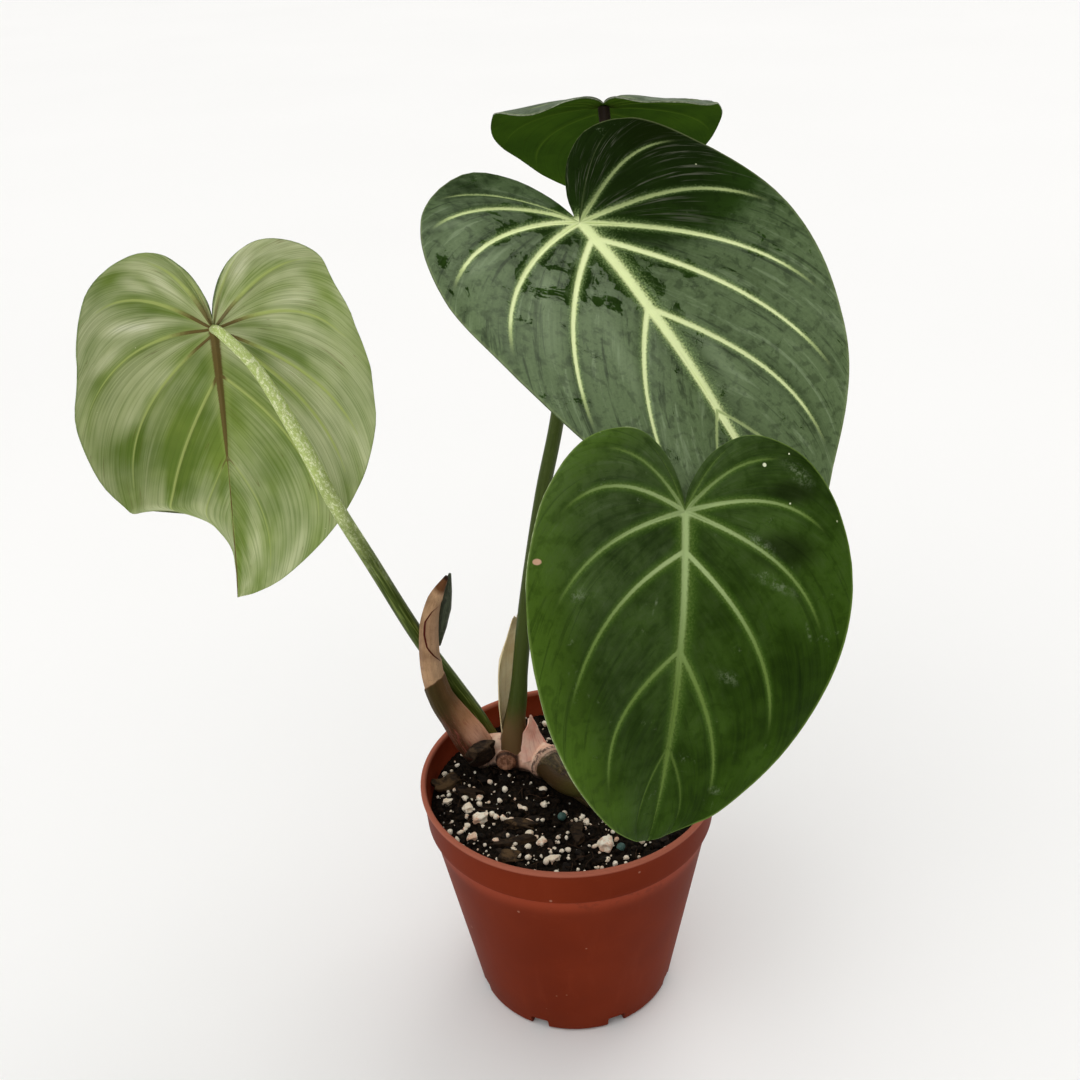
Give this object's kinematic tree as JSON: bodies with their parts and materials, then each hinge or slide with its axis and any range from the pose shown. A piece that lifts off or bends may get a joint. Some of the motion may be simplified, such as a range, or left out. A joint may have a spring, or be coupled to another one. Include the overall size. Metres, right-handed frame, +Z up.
{
  "type": "potted aroid house plant",
  "caption": "Potted velvet-leaf aroid: heart-shaped, pale-veined leaves on long stalks rise from a creeping stem in a tapered round nursery pot of bark and perlite mix.",
  "frame": {"origin": "middle of the pot's flat underside, on the surface that it stands on", "axes": "+Z up, -Y towards the side that the front leaf hangs over, +X to the right seen from there"},
  "size_m": [0.2444, 0.2704, 0.3234],
  "materials": {
    "pot_plastic": "satin",
    "soil": "matt",
    "rhizome": "satin",
    "petiole": "satin",
    "petiole_pale": "satin",
    "leaf_dark": "velvety",
    "leaf_green": "velvety",
    "leaf_pale": "satin",
    "sheath_pink": "satin",
    "spike": "matt",
    "sheath_papery": "matt",
    "bark_dark": "matt",
    "bark": "matt",
    "perlite": "matt",
    "prill": "satin"
  },
  "bodies": {
    "root": {"pot": "pot_plastic", "soil": "soil", "rhizome": "rhizome", "petiole_back": "petiole", "petiole_crown": "petiole", "petiole_front": "petiole", "petiole_left": "petiole_pale", "leaf_back": "leaf_dark", "leaf_crown": "leaf_dark", "leaf_front": "leaf_green", "leaf_left": "leaf_pale", "shoot_sheath": "sheath_pink", "shoot_spike": "spike", "sheath_back": "sheath_papery", "sheath_side": "sheath_pink", "bark_leaning": "bark_dark", "bark_chip_1": "bark", "bark_chip_2": "bark", "bark_chip_3": "bark", "bark_chip_4": "bark", "bark_chip_5": "bark", "bark_chip_6": "bark", "perlite_1": "perlite", "perlite_2": "perlite", "perlite_3": "perlite", "perlite_4": "perlite", "perlite_5": "perlite", "perlite_6": "perlite", "perlite_7": "perlite", "perlite_8": "perlite", "feed_prill_1": "prill", "feed_prill_2": "prill"}
  },
  "joints": []
}
